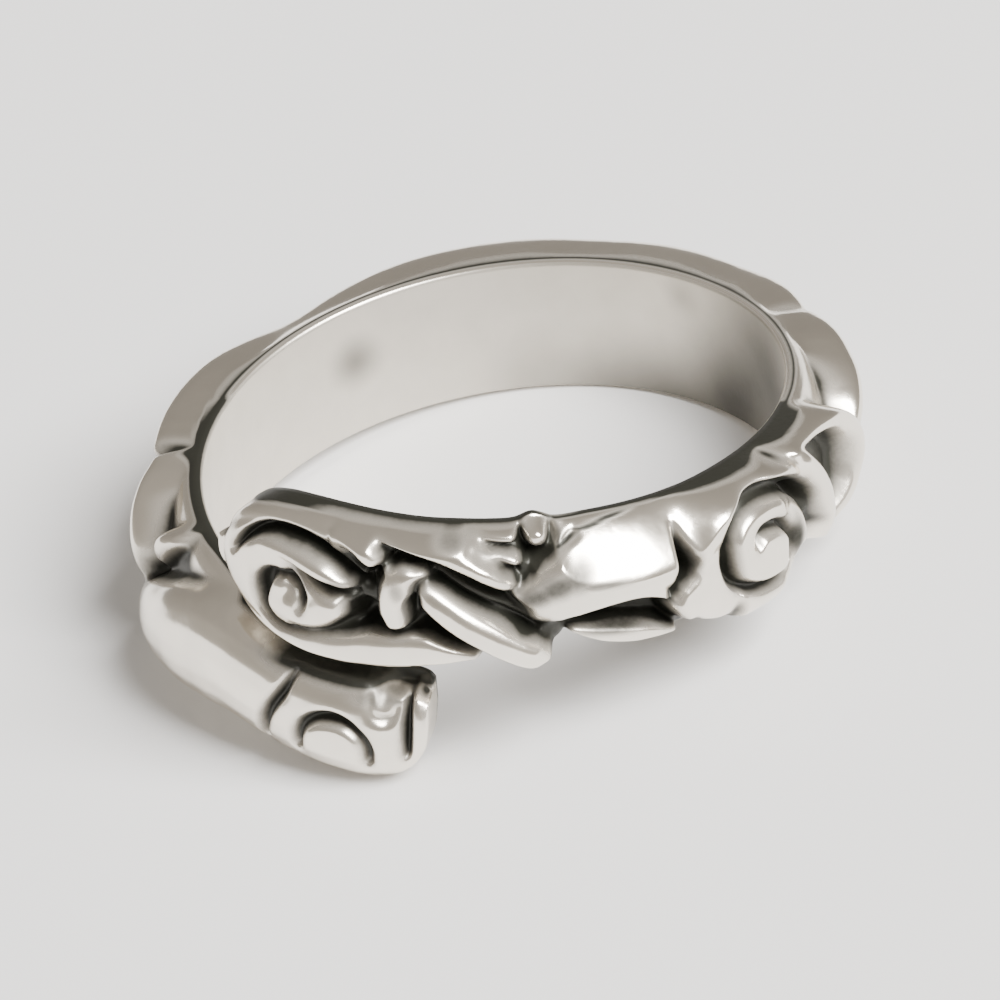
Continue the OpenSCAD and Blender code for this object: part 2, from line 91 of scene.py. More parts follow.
# Raised strands: depth of the section as a share of its half width, then rows of
# angle, across, half width and crown
STRANDS = {
    "head_mass": (0.22, [(413, -0.6, 0.6, 1.35), (410, -0.58, 1.15, 1.5), (405, -0.56, 1.65, 1.66),
                         (399, -0.58, 1.92, 1.73), (394.5, -0.58, 1.85, 1.75), (392.5, -0.55, 1.4, 1.74),
                         (391.5, -0.5, 0.9, 1.7)]),
    "crest": (1.25, [(412.6, -0.35, 0.25, 1.25), (411.4, 0.15, 0.32, 1.28), (409.3, 0.62, 0.38, 1.3),
                     (405.5, 1.05, 0.44, 1.3), (401, 1.3, 0.5, 1.28), (396, 1.38, 0.54, 1.28),
                     (389, 1.38, 0.54, 1.32), (383, 1.52, 0.5, 1.42), (375.5, 1.66, 0.46, 1.58),
                     (370, 1.58, 0.44, 1.7), (366, 1.28, 0.4, 1.78), (363, 0.98, 0.38, 1.78), (360.3, 0.7, 0.3, 1.66),
                     (358.6, 0.54, 0.18, 1.4)]),
    "crest_bevel": (1.25, [(372, 1.8, 0.3, 1.48), (369, 1.7, 0.36, 1.56), (366, 1.48, 0.38, 1.61),
                           (363, 1.18, 0.36, 1.61), (360.5, 0.88, 0.27, 1.48), (359, 0.72, 0.16, 1.25)]),
    "jaw": (0.55, [(413, -1, 0.3, 1.25), (409.5, -1.6, 0.38, 1.35), (405, -2.12, 0.42, 1.45), (399, -2.38, 0.42, 1.5),
                   (391, -2.28, 0.5, 1.52), (386, -2.05, 0.6, 1.56), (381, -1.88, 0.64, 1.58),
                   (376, -1.76, 0.6, 1.54), (371, -1.76, 0.46, 1.44), (367, -1.82, 0.3, 1.28)]),
    "brow": (0.75, [(404, 0.42, 0.25, 1.6), (400, 0.64, 0.34, 1.72), (396, 0.7, 0.4, 1.82), (392.5, 0.62, 0.47, 1.92),
                    (389.6, 0.48, 0.48, 1.95), (387.6, 0.34, 0.4, 1.85), (386.4, 0.24, 0.26, 1.6)]),
    "tongue": (0.6, [(401, -1.1, 0.45, 1.76), (397, -1.15, 0.52, 1.82), (392.5, -0.95, 0.55, 1.8),
                     (389.5, -0.65, 0.5, 1.76), (387.6, -0.45, 0.32, 1.6)]),
    "branch": (0.9, [(388.5, 1.5, 0.3, 1.45), (385.8, 1.62, 0.36, 1.6), (383.6, 1.6, 0.36, 1.78),
                     (381.9, 1.3, 0.32, 1.84), (380.3, 1.08, 0.22, 1.78)]),
    "branch_rib": (0.9, [(389.3, 1.18, 0.1, 1.4), (386, 0.88, 0.12, 1.42), (383.2, 0.58, 0.12, 1.42),
                         (381.8, 0.4, 0.08, 1.3)]),
    "strap": (0.8, [(374.2, 0.82, 0.36, 1.72), (376.4, 0.72, 0.5, 1.84), (378.4, 0.32, 0.48, 1.87),
                    (379.2, -0.2, 0.43, 1.82), (379.1, -0.68, 0.46, 1.74)]),
    "rod": (0.9, [(373.7, 0.3, 0.38, 1.8), (371.5, 0.02, 0.48, 1.92), (368, -0.48, 0.5, 2), (364, -0.96, 0.5, 2),
                  (360, -1.4, 0.5, 1.95), (357, -1.68, 0.46, 1.86), (355.4, -1.78, 0.34, 1.7)]),
    "rod_bevel": (0.9, [(373.5, 0.44, 0.36, 1.68), (371.4, 0.2, 0.46, 1.78), (368, -0.28, 0.5, 1.85),
                        (364, -0.76, 0.5, 1.85), (360, -1.2, 0.5, 1.8), (357, -1.5, 0.45, 1.7),
                        (355.6, -1.62, 0.34, 1.56)]),
    "under_rod": (0.9, [(371.5, 1.1, 0.13, 1.42), (368.5, 0.86, 0.2, 1.52), (365, 0.46, 0.22, 1.52),
                        (361.5, 0.04, 0.14, 1.42)]),
    "leaf": (0.9, [(367.8, 1.8, 0.07, 0.6), (364.8, 1.82, 0.15, 0.78), (361.4, 1.84, 0.21, 0.95),
                   (358.8, 1.86, 0.2, 0.98)]),
    "twig": (0.9, [(365, 1.66, 0.07, 0.85), (362.6, 1.5, 0.13, 1.1), (360.2, 1.36, 0.17, 1.26),
                   (358.4, 1.26, 0.17, 1.32)]),
    "berry": (1, [(354.6, 1.8, 0.31, 1.02), (354.1, 1.8, 0.32, 1.02)]),
    "low_cord": (0.5, [(350, -1.25, 0.12, 1.08), (345.5, -1.5, 0.27, 1.14), (340, -1.7, 0.32, 1.18),
                       (335, -1.86, 0.26, 1.15), (331.5, -1.98, 0.18, 1.1)]),
    "thigh": (0.5, [(360, 0.05, 0.22, 1.3), (358.5, 0.05, 0.45, 1.42), (356.5, 0.06, 0.75, 1.56),
                    (354, 0.14, 0.98, 1.67), (351, 0.38, 1.14, 1.78), (348, 0.62, 1.24, 1.89), (345, 0.8, 1.29, 1.97),
                    (341, 0.94, 1.33, 2.03), (337, 1.02, 1.34, 2.04), (333, 1.08, 1.33, 1.99),
                    (328.5, 1.1, 1.28, 1.92)]),
    "thigh_tail": (0.8, [(341, 0, 0.25, 1.75), (337.5, -0.08, 0.28, 1.78), (335, -0.3, 0.22, 1.72),
                         (333.6, -0.55, 0.16, 1.55)]),
    "haunch": (0.4, [(328.9, -0.9, 0.7, 1.74), (326.5, -0.8, 1.2, 1.84), (323.5, -0.55, 1.75, 1.95),
                     (318, -0.35, 1.95, 2.02), (311, -0.3, 1.95, 2.02), (307, -0.35, 1.75, 1.97),
                     (304.5, -0.38, 1.3, 1.88), (303, -0.4, 0.75, 1.75)]),
    "arm": (0.8, [(327, 1.1, 1.0, 1.95), (321.5, 1.4, 0.72, 1.88), (315.5, 1.66, 0.45, 1.8), (310, 1.62, 0.46, 1.76),
                  (305.5, 1.45, 0.46, 1.74), (303, 1.25, 0.4, 1.66)]),
    "hook": (0.9, [(301, 1.75, 0.3, 1.55), (299.4, 1.3, 0.4, 1.85), (297.4, 0.55, 0.45, 2.02),
                   (295.6, -0.25, 0.42, 2.0), (294.2, -0.95, 0.4, 1.85), (293.8, -1.4, 0.33, 1.65)]),
    "right_over": (0.9, [(303.4, 1.84, 0.2, 1.25), (300.6, 1.84, 0.26, 1.4), (297, 1.86, 0.28, 1.4),
                         (292, 1.84, 0.3, 1.5), (287.6, 1.72, 0.34, 1.75), (284, 1.36, 0.42, 2),
                         (281.4, 0.8, 0.45, 2.2), (280.4, 0.15, 0.45, 2.25), (281.4, -0.5, 0.42, 2.12),
                         (284.2, -1.1, 0.36, 1.9), (287.3, -1.5, 0.28, 1.55)]),
    "right_under": (0.9, [(277, -0.4, 0.32, 1.8), (273, 0.35, 0.45, 2.1), (268, 0.92, 0.5, 2.2),
                          (262, 1.3, 0.5, 2.1), (256, 1.55, 0.45, 1.95), (250, 1.68, 0.36, 1.7)]),
    "right_low": (0.9, [(281, -1.85, 0.2, 1.3), (276, -1.5, 0.36, 1.75), (270, -1.05, 0.44, 1.95),
                        (264, -0.85, 0.44, 1.9), (258, -1.1, 0.38, 1.75), (254, -1.5, 0.28, 1.5)]),
    "neck": (0.6, [(18.5, 0.1, 1.0, 1.4), (22, -0.15, 1.5, 1.65), (27, -0.28, 1.75, 1.8), (33, -0.3, 1.8, 1.88),
                   (40, -0.28, 1.8, 1.88), (48, -0.1, 1.9, 1.93), (56, 0, 1.9, 2.05), (64, -0.25, 1.75, 2.2),
                   (72, -0.6, 1.5, 2.35), (80, -1.0, 1.15, 2.35), (87, -1.45, 0.8, 2.1), (92, -1.8, 0.45, 1.6)]),
    "left_inner": (0.9, [(76.5, 1.85, 0.25, 1.3), (79.3, 1.5, 0.38, 1.6), (81.6, 1.0, 0.38, 1.65),
                         (83, 0.5, 0.26, 1.4)]),
    "left_outer": (0.9, [(100, 1.75, 0.36, 1.6), (95, 1.35, 0.5, 2.0), (91.5, 0.7, 0.55, 2.25), (89.8, -0.1, 0.5, 2.2),
                         (90.3, -0.9, 0.4, 1.9)]),
    "back_border": (0.9, [(249, 1.62, 0.28, 1.6), (240, 1.72, 0.34, 1.82), (228, 1.74, 0.34, 1.74),
                          (214, 1.76, 0.36, 1.86), (200, 1.74, 0.34, 1.78), (185, 1.76, 0.37, 1.95),
                          (168, 1.74, 0.35, 1.82), (156, 1.7, 0.3, 1.55), (144, 1.66, 0.24, 1.3),
                          (135, 1.7, 0.3, 1.6), (126, 1.74, 0.36, 1.86), (114, 1.72, 0.36, 1.86),
                          (104, 1.7, 0.32, 1.7)]),
    "low_border": (0.9, [(254, -1.78, 0.2, 1.3), (240, -1.78, 0.28, 1.5), (180, -1.78, 0.3, 1.5),
                         (120, -1.78, 0.28, 1.5), (98, -1.78, 0.2, 1.3)]),
}
# Limb and haunch of the back, with angles counted from the haunch's spiral, and where the spirals are
BACK_LIMB = {
    "limb": (0.6, [(43, 0.2, 0.3, 1.35), (38, 0.2, 0.8, 1.7), (31, 0, 1.15, 1.9), (24, -0.1, 1.2, 1.95),
                   (17, -0.1, 1.1, 1.95)]),
    "haunch": (0.5, [(17, 0.4, 1.0, 1.75), (12, 0.25, 1.35, 1.9), (5, 0, 1.6, 1.95), (-2, 0, 1.55, 1.92),
                     (-8, -0.1, 1.1, 1.7)]),
}
BACK_LIMB_AT = (222, 168)
# Spiral in the haunches of the back: depth, number of points, first turn and the turn between two points in
# degrees, then radius and half width, each with what it loses from point to point
BACK_SPIRAL_DEPTH = 0.45
BACK_SPIRAL_POINTS = 14
BACK_SPIRAL_TURN = (150, 50)
BACK_SPIRAL_RADIUS = (1.3, 0.085)
BACK_SPIRAL_WIDTH = (0.2, 0.006)
# Plaits of two strands at the back: first and last angle of each
PLAITS = ((232, 250), (106, 140))
# Length of a full wave in degrees and its swing, then the strands' section and how much they rise where they cross
PLAIT_WAVE = 36
PLAIT_POINTS = 8
PLAIT_SWING = 1.05
PLAIT_HALF_WIDTH = 0.45
PLAIT_CROWN = 1.55
PLAIT_RISE = 0.15
ROUND_DEPTH = 0.9
# The ground's core is a flat wire. Between these angles its points are evenly spaced.
CORE_EVEN = (70, 345)
CORE_STEP = 11
CORE_HALF_WIDTH = 2.15

# Cut grooves: depth, then rows of angle, across and half width
GROOVES = {
    "mane": (0.62, [(409.6, -0.14, 0.08), (407.6, 0.34, 0.13), (405.4, 0.72, 0.16), (402.5, 1.02, 0.17),
                    (399.5, 1.16, 0.18), (396, 1.2, 0.18), (392, 1.1, 0.17), (389, 0.92, 0.16), (386.5, 0.64, 0.15),
                    (384.8, 0.42, 0.14), (383.3, 0.22, 0.12)]),
    "curl": (0.5, [(395.4, -1, 0.12), (394.9, -0.72, 0.15), (395.4, -0.42, 0.18), (396.8, -0.18, 0.19),
                   (398.6, -0.1, 0.18), (400.8, -0.2, 0.2), (402.6, -0.55, 0.26), (403.5, -1, 0.29),
                   (403.3, -1.5, 0.29), (401.8, -1.84, 0.24), (398.8, -1.94, 0.16), (395.2, -1.88, 0.13)]),
    "curl_foot": (0.5, [(395.2, -1.88, 0.13), (391.5, -1.68, 0.18), (389, -1.46, 0.26), (387, -1.22, 0.32),
                        (385, -1.02, 0.36)]),
    "pit": (0.55, [(387.4, -0.5, 0.2), (386, -0.72, 0.38), (384, -0.88, 0.46), (382.7, -0.92, 0.4)]),
    "pit_corner": (0.45, [(376, -0.85, 0.14), (374.6, -0.9, 0.24), (372.3, -1.14, 0.22), (369.5, -1.42, 0.16),
                          (366.5, -1.68, 0.1)]),
    "jaw_line": (0.35, [(383.5, -1.28, 0.12), (380, -1.22, 0.12), (376.5, -1.1, 0.12), (373, -1.15, 0.1)]),
    "gap": (0.5, [(381.8, 1.76, 0.05), (380, 1.58, 0.13), (377.5, 1.46, 0.18), (375, 1.36, 0.19), (372, 1.24, 0.18),
                  (369, 1.04, 0.19), (366.5, 0.82, 0.2), (363, 0.42, 0.2), (360, 0.02, 0.18), (357, -0.35, 0.12)]),
    "rod_shade": (0.45, [(375.2, 0.2, 0.1), (374.6, 0.62, 0.11), (372.6, 0.78, 0.12), (370, 0.58, 0.12),
                         (366, 0.12, 0.12), (362, -0.36, 0.12), (358.5, -0.78, 0.15), (356, -1.08, 0.13)]),
    "strap_side": (0.4, [(375.9, -0.95, 0.12), (376, -0.45, 0.14), (375.6, -0.05, 0.15), (374.7, 0.22, 0.14)]),
    "brow_line": (0.4, [(398.5, 0.52, 0.06), (396, 0.36, 0.14), (393.5, 0.16, 0.24), (391, 0, 0.29),
                        (388.5, -0.08, 0.29), (386.4, -0.1, 0.2)]),
    "branch_gap": (0.5, [(383.4, 0.28, 0.09), (382.4, 0.58, 0.1), (381.3, 0.9, 0.1), (379.6, 1.18, 0.1),
                         (377.6, 1.32, 0.1)]),
    "leaf_line": (0.3, [(366, 1.68, 0.05), (363.4, 1.66, 0.07), (360.6, 1.62, 0.08), (358, 1.6, 0.08)]),
    "twig_line": (0.4, [(366.2, 1.8, 0.05), (364.2, 1.54, 0.07), (362, 1.32, 0.08), (360, 1.08, 0.09),
                        (358.4, 0.9, 0.1)]),
    "berry_slot": (0.62, [(357.2, 2.02, 0.07), (357, 1.74, 0.11), (356.4, 1.46, 0.14), (354.8, 1.28, 0.17),
                          (352.8, 1.38, 0.16), (351.7, 1.66, 0.12), (351.3, 1.98, 0.08)]),
    "under_thigh": (0.8, [(351.5, -0.78, 0.06), (348.8, -0.8, 0.18), (345, -0.8, 0.34), (341, -0.82, 0.46),
                          (337.4, -0.92, 0.5), (334.6, -1.16, 0.4), (332.4, -1.45, 0.26)]),
    "thigh_top": (0.28, [(359, 0.5, 0.08), (357, 0.7, 0.11), (355, 1, 0.13), (353.2, 1.26, 0.13), (351.5, 1.46, 0.12),
                         (349.5, 1.66, 0.1), (347.5, 1.8, 0.08)]),
    "haunch_scroll": (0.6, [(300.9, 0.5, 0.22), (302.8, 0.86, 0.28), (306, 1.22, 0.32), (310, 1.48, 0.32),
                            (314.5, 1.58, 0.32), (318, 1.44, 0.3), (320.9, 1.04, 0.26), (322.2, 0.5, 0.2)]),
    "haunch_spiral": (0.6, [(322.2, 0.5, 0.24), (322.3, -0.1, 0.23), (321.2, -0.7, 0.21), (318, -1.14, 0.2),
                            (313.8, -1.32, 0.2), (309.6, -1.24, 0.2), (307, -0.95, 0.19), (306.2, -0.45, 0.19),
                            (307.6, 0.04, 0.19), (310.4, 0.38, 0.19), (313.4, 0.54, 0.18), (315.8, 0.48, 0.16),
                            (316.8, 0.22, 0.12)]),
    "scroll_side": (0.7, [(301.4, 0.3, 0.18), (300.6, -0.4, 0.24), (299.4, -1.1, 0.26), (298.6, -1.75, 0.24)]),
    "thigh_notch": (0.8, [(330.2, 1.55, 0.05), (330.3, 1.25, 0.1), (330.3, 0.92, 0.18), (330.1, 0.58, 0.28),
                          (330, 0.22, 0.38), (330.9, -0.06, 0.28), (331.8, -0.35, 0.14), (332, -0.7, 0.1)]),
    "eye_ring": (0.42, [(38.7, -1.2, 0.14), (38, -0.7, 0.16), (36, -0.2, 0.18), (33, 0.08, 0.2), (30, 0.12, 0.2),
                        (27.2, -0.15, 0.17), (25.7, -0.6, 0.16), (25.9, -1.15, 0.14)]),
    "collar": (0.42, [(38.6, 1.1, 0.1), (39.6, 0.8, 0.13), (41, 0.35, 0.16), (43.5, -0.3, 0.16), (45.5, -1, 0.15),
                      (46.5, -1.6, 0.12)]),
    "snout": (0.42, [(18.6, 1.05, 0.12), (19, 0.5, 0.15), (19.3, -0.2, 0.15), (19.6, -0.85, 0.11)]),
    "nostril": (0.18, [(25, 1, 0.08), (24.9, 0.68, 0.09), (23.9, 0.42, 0.1), (22.6, 0.34, 0.1), (21.3, 0.42, 0.1),
                      (20.6, 0.72, 0.09)]),
}

# Smears of painted shade and painted dark reflections, with some patina: angle, across, half length, half width, rise a
# millimetre, strength
SHADE_SMEARS = [
    (355.8, 0.26, 0.75, 0.36, 0.4, 0.84),
    (352.2, 0.64, 0.8, 0.42, 0.4, 0.84),
    (348.9, 0.9, 0.55, 0.44, 0.3, 0.8),
    (345, 0.62, 1.0, 0.12, 0, 0.75),
    (304.9, -0.55, 0.3, 0.75, 0, 0.9),
    (307.4, -1.1, 0.45, 0.14, 0.78, 0.9),
    (349.5, 1.64, 0.6, 0.08, 0.35, 0.95),
    (345, 1.87, 0.8, 0.06, 0.09, 0.95),
    (340.5, 1.97, 0.8, 0.05, 0.06, 0.95),
    (351, 1.74, 0.35, 0.35, 0, 0.8),
    (368.8, 1.9, 0.5, 0.16, 0, 0.7),
    (388.3, 0.15, 0.55, 0.3, 0.25, 0.6),
    (384.2, -0.9, 0.6, 0.5, 0, 0.55),
    (342, -1.36, 1.4, 0.22, -0.08, 0.85),
    (23, 0.95, 0.9, 0.3, 0, 0.7),
    (41, 1.3, 0.8, 0.4, 0, 0.6),
    (330.6, 0.35, 0.2, 0.6, 0, 0.7),
    (377.6, 0.45, 0.22, 0.34, 0, 0.55),
]
SHADE_SMEAR_FALLOFF = 1.7
# Painted shade and dark reflection along the high edge: angle, width
RIM_SHADE_LINE = [
    (15, 0.05), (50, 0.1), (100, 0.1), (120, 0.01), (285, 0.01), (300, 0.12), (310, 0.12), (325, 0.09), (338, 0.03),
    (350, 0.02), (358, 0.03), (368, 0.05), (380, 0.04), (392, 0.05), (400, 0.09), (408, 0.1), (415, 0.06),
]

# Shares of that width at which it starts to fade and is gone, and the widths from which the folded border has it
RIM_SHADE_FADE = (0.3, 1)
RIM_SHADE_FOLDED = (0.01, 0.03)
# Polishing wheels: radius, reach in points of the sheet, depth below the wheel where blackening starts and is full
WHEELS = ((1.4, 26, (0.06, 0.36)), (0.35, 14, (0.015, 0.09)))
# Depth of cut where blackening starts and is full, and how black the cuts are
CUT_BLACKENED = (0.1, 0.34)
CUT_STRENGTH = 0.9
BLACKENING_PASSES = 6
# Painted shadow on the lower end's top face, which lies under the upper end: where it starts across and ends along the
# strip
SHADOW_UNDER_END_ACROSS = (0.95, 1.2)
SHADOW_UNDER_END_ANGLES = (40, 50)

# Darker patches on the inner wall: a dark smudge, and painted shade towards its right end and along its lower band;
# place in millimetres, reach and strength
SMUDGE_AND_SHADE_PATCHES = [
    ((-3.8, 7.5, 2.8), 1.2, 0.42), ((6.1, 6.2, 3.7), 1.0, 0.15), ((1.4, 8.1, -0.2), 3.0, 0.25),
    ((4.2, 7.0, -0.4), 3.2, 0.46), ((6.6, 5.0, 0.2), 3.4, 0.46), ((8.2, 2.6, 2.6), 5.0, 0.56),
]
# Dullness of the whole inner wall, which is worn but not polished
INNER_DULLNESS = 0.34

# Noise in the silver, per metre: clouds of tarnish all over, and speckles in the blackening
CLOUDS = {"Scale": 900.0, "Detail": 3.0, "Roughness": 0.6}
CLOUD_START = 0.35
CLOUD_STRENGTH = 1.2
CLOUD_TONE = 0.88
SPECKLES = {"Scale": 6000.0, "Detail": 4.0, "Roughness": 0.7}
SPECKLE_STRENGTH = 0.9
BLACK_STRENGTH = 1.1
# Roughness that clouds, blackening with its painted shade, and the inner wall add, and the share of metal that
# blackening and painted shade cover
CLOUD_ROUGHNESS = 0.1
BLACK_ROUGHNESS = 0.26
INNER_ROUGHNESS = 0.16
BLACK_COVER = 0.55
# Grain of the cast surface: strength, depth in metres, and the shares of speckles and clouds in it
GRAIN_STRENGTH = 0.25
GRAIN_DEPTH = 0.00002
GRAIN_SPECKLES = 0.3
GRAIN_CLOUDS = 2

# Spacing of the sheet's cross sections: angle, millimetres
SPACING = [
    (15.2, 0.014), (16.5, 0.03), (20, 0.05), (60, 0.05), (100, 0.075), (130, 0.12), (230, 0.12), (255, 0.075),
    (300, 0.05), (408, 0.045), (414, 0.03), (415.6, 0.012),
]
SPACING_SAMPLES = 4001
ROWS_ACROSS = 80
# Share of the rows' even spacing that goes to the two edges
EDGE_CROWDING = 0.3
# How much a slope draws the rows together, the slope that counts most, and how often that is evened out
SLOPE_CROWDING = 1.6
STEEPEST = 2.5
CROWDING_PASSES = 60
# The relief rolls over towards the low edge and the ends within this width, and rises to this height
ROLL_WIDTH = 0.42
ROLL_HEIGHT = 2.15
LOW_FULLNESS = 2.0
# Border edges this near to an end are counted to find its middle
END_REACH = 0.4
# Heights from which the fine net is let down or lifted, and how near to the low one a point has met no groove
HIGH_SHELF = 5.0
LOW_SHELF = -5.0
SHELF_SLACK = 0.01
# Half width of the thin plate under the strands
PLATE_HALF_WIDTH = 6
# Round end of a wire, as reach and width in shares of its half width
ROUND_END = ((0.5, 0.87), (0.87, 0.5), (0.99, 0.12))
WIRE_SIDES = 7
WIRE_STEPS = 16
# Edges sharper than this many degrees stay crisp
CRISP_ANGLE = 100

# Stage, in metres: floor, window light, room and camera
FLOOR_SIZE = 1.2
FLOOR_ROUGHNESS = 0.9
FLOOR_SHINE = 0.2
WINDOW_PLACE = (0.517, -0.362, 0.642)
WINDOW_SIZE = (0.46, 0.57)
WINDOW_COLOUR = (1, 0.985, 0.96)
WINDOW_AIM = (0, 0, 0.004)
# Brightness of the room from the horizon up, and how much darker its back is at the horizon
ROOM_TONES = ((0.0, 1.35), (0.17, 1.2), (0.34, 1.02), (0.5, 0.98), (1.0, 1.0))
BACK_SHADE = 0.5
SENSOR_WIDTH = 36
CLIPPING = (0.01, 10)


def bench_place(angle):
    """Length along the flat strip, from its upper end."""
    return (END_HIGH - angle) * MM_PER_DEGREE


def deselect_all():
    if bpy.context.object and bpy.context.mode != "OBJECT":
        bpy.ops.object.mode_set(mode="OBJECT")
    bpy.ops.object.select_all(action="DESELECT")


def pick(obj):
    deselect_all()
    obj.select_set(True)
    bpy.context.view_layer.objects.active = obj


def join(pieces, name):
    """Makes several pieces one."""
    pick(pieces[0])
    for piece in pieces:
        piece.select_set(True)
    bpy.ops.object.join()
    pieces[0].name = name
    return pieces[0]


def remove(obj):
    pick(obj)
    bpy.ops.object.delete()


def apply_modifier(obj, kind, **settings):
    modifier = obj.modifiers.new(kind.title(), kind)
    for key, value in settings.items():
        setattr(modifier, key, value)
    pick(obj)
    bpy.ops.object.modifier_apply(modifier=modifier.name)


def points_of(obj):
    co = np.zeros(len(obj.data.vertices) * 3, np.float32)
    obj.data.vertices.foreach_get("co", co)
    return co.reshape(-1, 3).astype(float)


def set_points(obj, co):
    obj.data.vertices.foreach_set("co", co.astype(np.float32).ravel())
    obj.data.update()


def rounded_ends(rows):
    """Rows of x, y, z and half width, carried on past both ends to round them off."""
    def cap(end, before):
        way = Vector(end[:2]) - Vector(before[:2])
        way.normalize()
        return [(end[0] + way.x * end[3] * reach, end[1] + way.y * end[3] * reach, end[2], end[3] * width)
                for reach, width in ROUND_END]
    return cap(rows[0], rows[1])[::-1] + list(rows) + cap(rows[-1], rows[-2])


def roll_wire(name, rows, depth):
    """A tapered wire with round ends, flattened to its depth. Rows are x, y, height of its middle and half width."""
    deselect_all()
    bpy.ops.curve.primitive_bezier_curve_add(location=(0, 0, 0))
    wire = bpy.context.object
    wire.name = name
    rows = rounded_ends(rows)
    line = wire.data
    line.dimensions = "3D"
    line.twist_mode = "Z_UP"
    line.bevel_depth = 1
    line.bevel_resolution = WIRE_SIDES
    line.resolution_u = WIRE_STEPS
    spline = line.splines[0]
    spline.radius_interpolation = "CARDINAL"
    spline.bezier_points.add(len(rows) - 2)
    for point, (x, y, z, half_width) in zip(spline.bezier_points, rows):
        point.co = (x, y, z / depth)
        point.handle_left_type = point.handle_right_type = "AUTO"
        point.radius = half_width
    bpy.ops.object.convert(target="MESH")
    bpy.ops.object.mode_set(mode="EDIT")
    bpy.ops.mesh.select_all(action="SELECT")
    bpy.ops.transform.resize(value=(1, 1, depth), center_override=(0, 0, 0))
    bpy.ops.object.mode_set(mode="OBJECT")
    return wire


def strand_wire(name, depth, rows):
    return roll_wire(name, [(bench_place(angle), across, crown - depth * half_width, half_width)
                            for angle, across, half_width, crown in rows], depth)


def groove_wire(name, depth, rows):
    """A wire of unit half height would cut half its width deep, so its depth is set as a share of its mean width."""
    mean = sum(row[2] for row in rows) / len(rows)
    return roll_wire(name, [(bench_place(angle), across, 0, half_width) for angle, across, half_width in rows],
                     depth / mean)


def edge_line(angles, column):
    """Smooth edge line of the strip at many angles: column 1 is the low edge, 2 the high edge."""
    table = np.array(EDGES)
    at, value = table[:, 0], table[:, column]
    slope = np.empty_like(at)
    slope[1:-1] = (value[2:] - value[:-2]) / (at[2:] - at[:-2])
    slope[0] = (value[1] - value[0]) / (at[1] - at[0])
    slope[-1] = (value[-1] - value[-2]) / (at[-1] - at[-2])
    i = np.clip(np.searchsorted(at, angles, side="right") - 1, 0, len(at) - 2)
    span = at[i + 1] - at[i]
    t = (angles - at[i]) / span
    return (value[i] + (value[i + 1] - value[i]) * t * t * (3 - 2 * t)
            + span * (slope[i] * t * (1 - t) ** 2 - slope[i + 1] * t * t * (1 - t)))


def column_angles():
    """Angles of the sheet's cross sections, close together where the work is fine."""
    fine = np.linspace(END_LOW, END_HIGH, SPACING_SAMPLES)
    at, spacing = np.array(SPACING).T
    count = np.concatenate([[0], np.cumsum(np.diff(fine) * MM_PER_DEGREE / np.interp(fine[:-1], at, spacing))])
    number = int(round(count[-1]))
    return np.interp(np.linspace(0, count[-1], number + 1), count, fine)[::-1]


def shift_pairs(grid, step, axis):
    """Two views of a grid, one a number of places on from the other."""
    here = [slice(None)] * grid.ndim
    there = [slice(None)] * grid.ndim
    here[axis] = slice(0, grid.shape[axis] - step)
    there[axis] = slice(step, None)
    return tuple(here), tuple(there)


def roll_ball(height, along, across, radius, steps, lift):
    """Grows a height field by a bowl of that radius, or shrinks it if lift is -1."""
    grown = height * lift
    for axis, place in ((0, along), (1, across)):
        best = grown.copy()
        for step in range(1, steps + 1):
            here, there = shift_pairs(grown, step, axis)
            drop = (place[there] - place[here]) ** 2 / (2 * radius)
            best[here] = np.maximum(best[here], grown[there] - drop)
            best[there] = np.maximum(best[there], grown[here] - drop)
        grown = best
    return grown * lift


def out_of_reach(height, along, across, radius, steps):
    """How far the surface lies below the reach of a polishing ball of that radius."""
    margin = steps
    pad = ((margin, margin), (margin, margin))
    tall = np.pad(height, pad, constant_values=-1.0)
    far = np.pad(along, pad, mode="reflect", reflect_type="odd")
    wide = np.pad(across, pad, mode="reflect", reflect_type="odd")
    closed = roll_ball(roll_ball(tall, far, wide, radius, steps, 1), far, wide, radius, steps, -1)
    return np.maximum(closed[margin:-margin, margin:-margin] - height, 0)


def smooth_step(value, low, high):
    t = np.clip((value - low) / (high - low), 0, 1)
    return t * t * (3 - 2 * t)


class BandSettings(bpy.types.PropertyGroup):
    pitch: FloatProperty(
        name="Rise", description="Rise of the strip in one full turn round the finger",
        default=0.0046, min=0.004, max=0.006, unit="LENGTH", precision=5)
    edge_thickness: FloatProperty(
        name="Edge", description="Thickness of the strip at its thin edges",
        default=0.00025, min=0.0001, max=0.0006, unit="LENGTH", precision=5)
    ground_thickness: FloatProperty(
        name="Ground", description="Thickness of the sunk ground in the middle of the strip",
        default=0.0011, min=0.0008, max=0.0014, unit="LENGTH", precision=5)
    rim_round: FloatProperty(
        name="Rim rounding", description="Width of the rounded rim of the inner wall",
        default=0.00008, min=0.00002, max=0.0001, unit="LENGTH", precision=5)
    smoothing: IntProperty(
        name="Polishing passes", description="How often the relief is smoothed before it is wound",
        default=20, min=0, max=60)


class SilverSettings(bpy.types.PropertyGroup):
    bright: FloatVectorProperty(
        name="Bright silver", description="Colour of the polished metal", subtype="COLOR",
        default=(0.95, 0.89, 0.79), min=0, max=1)
    # Colour of the blackened recesses, and of the painted shade that shares their mask
    black: FloatVectorProperty(
        name="Blackening", description="Colour of the blackened recesses", subtype="COLOR",
        default=(0.022, 0.022, 0.017), min=0, max=1)
    haze: FloatProperty(
        name="Haze", description="Roughness of the polished metal", subtype="FACTOR", default=0.16, min=0, max=1)


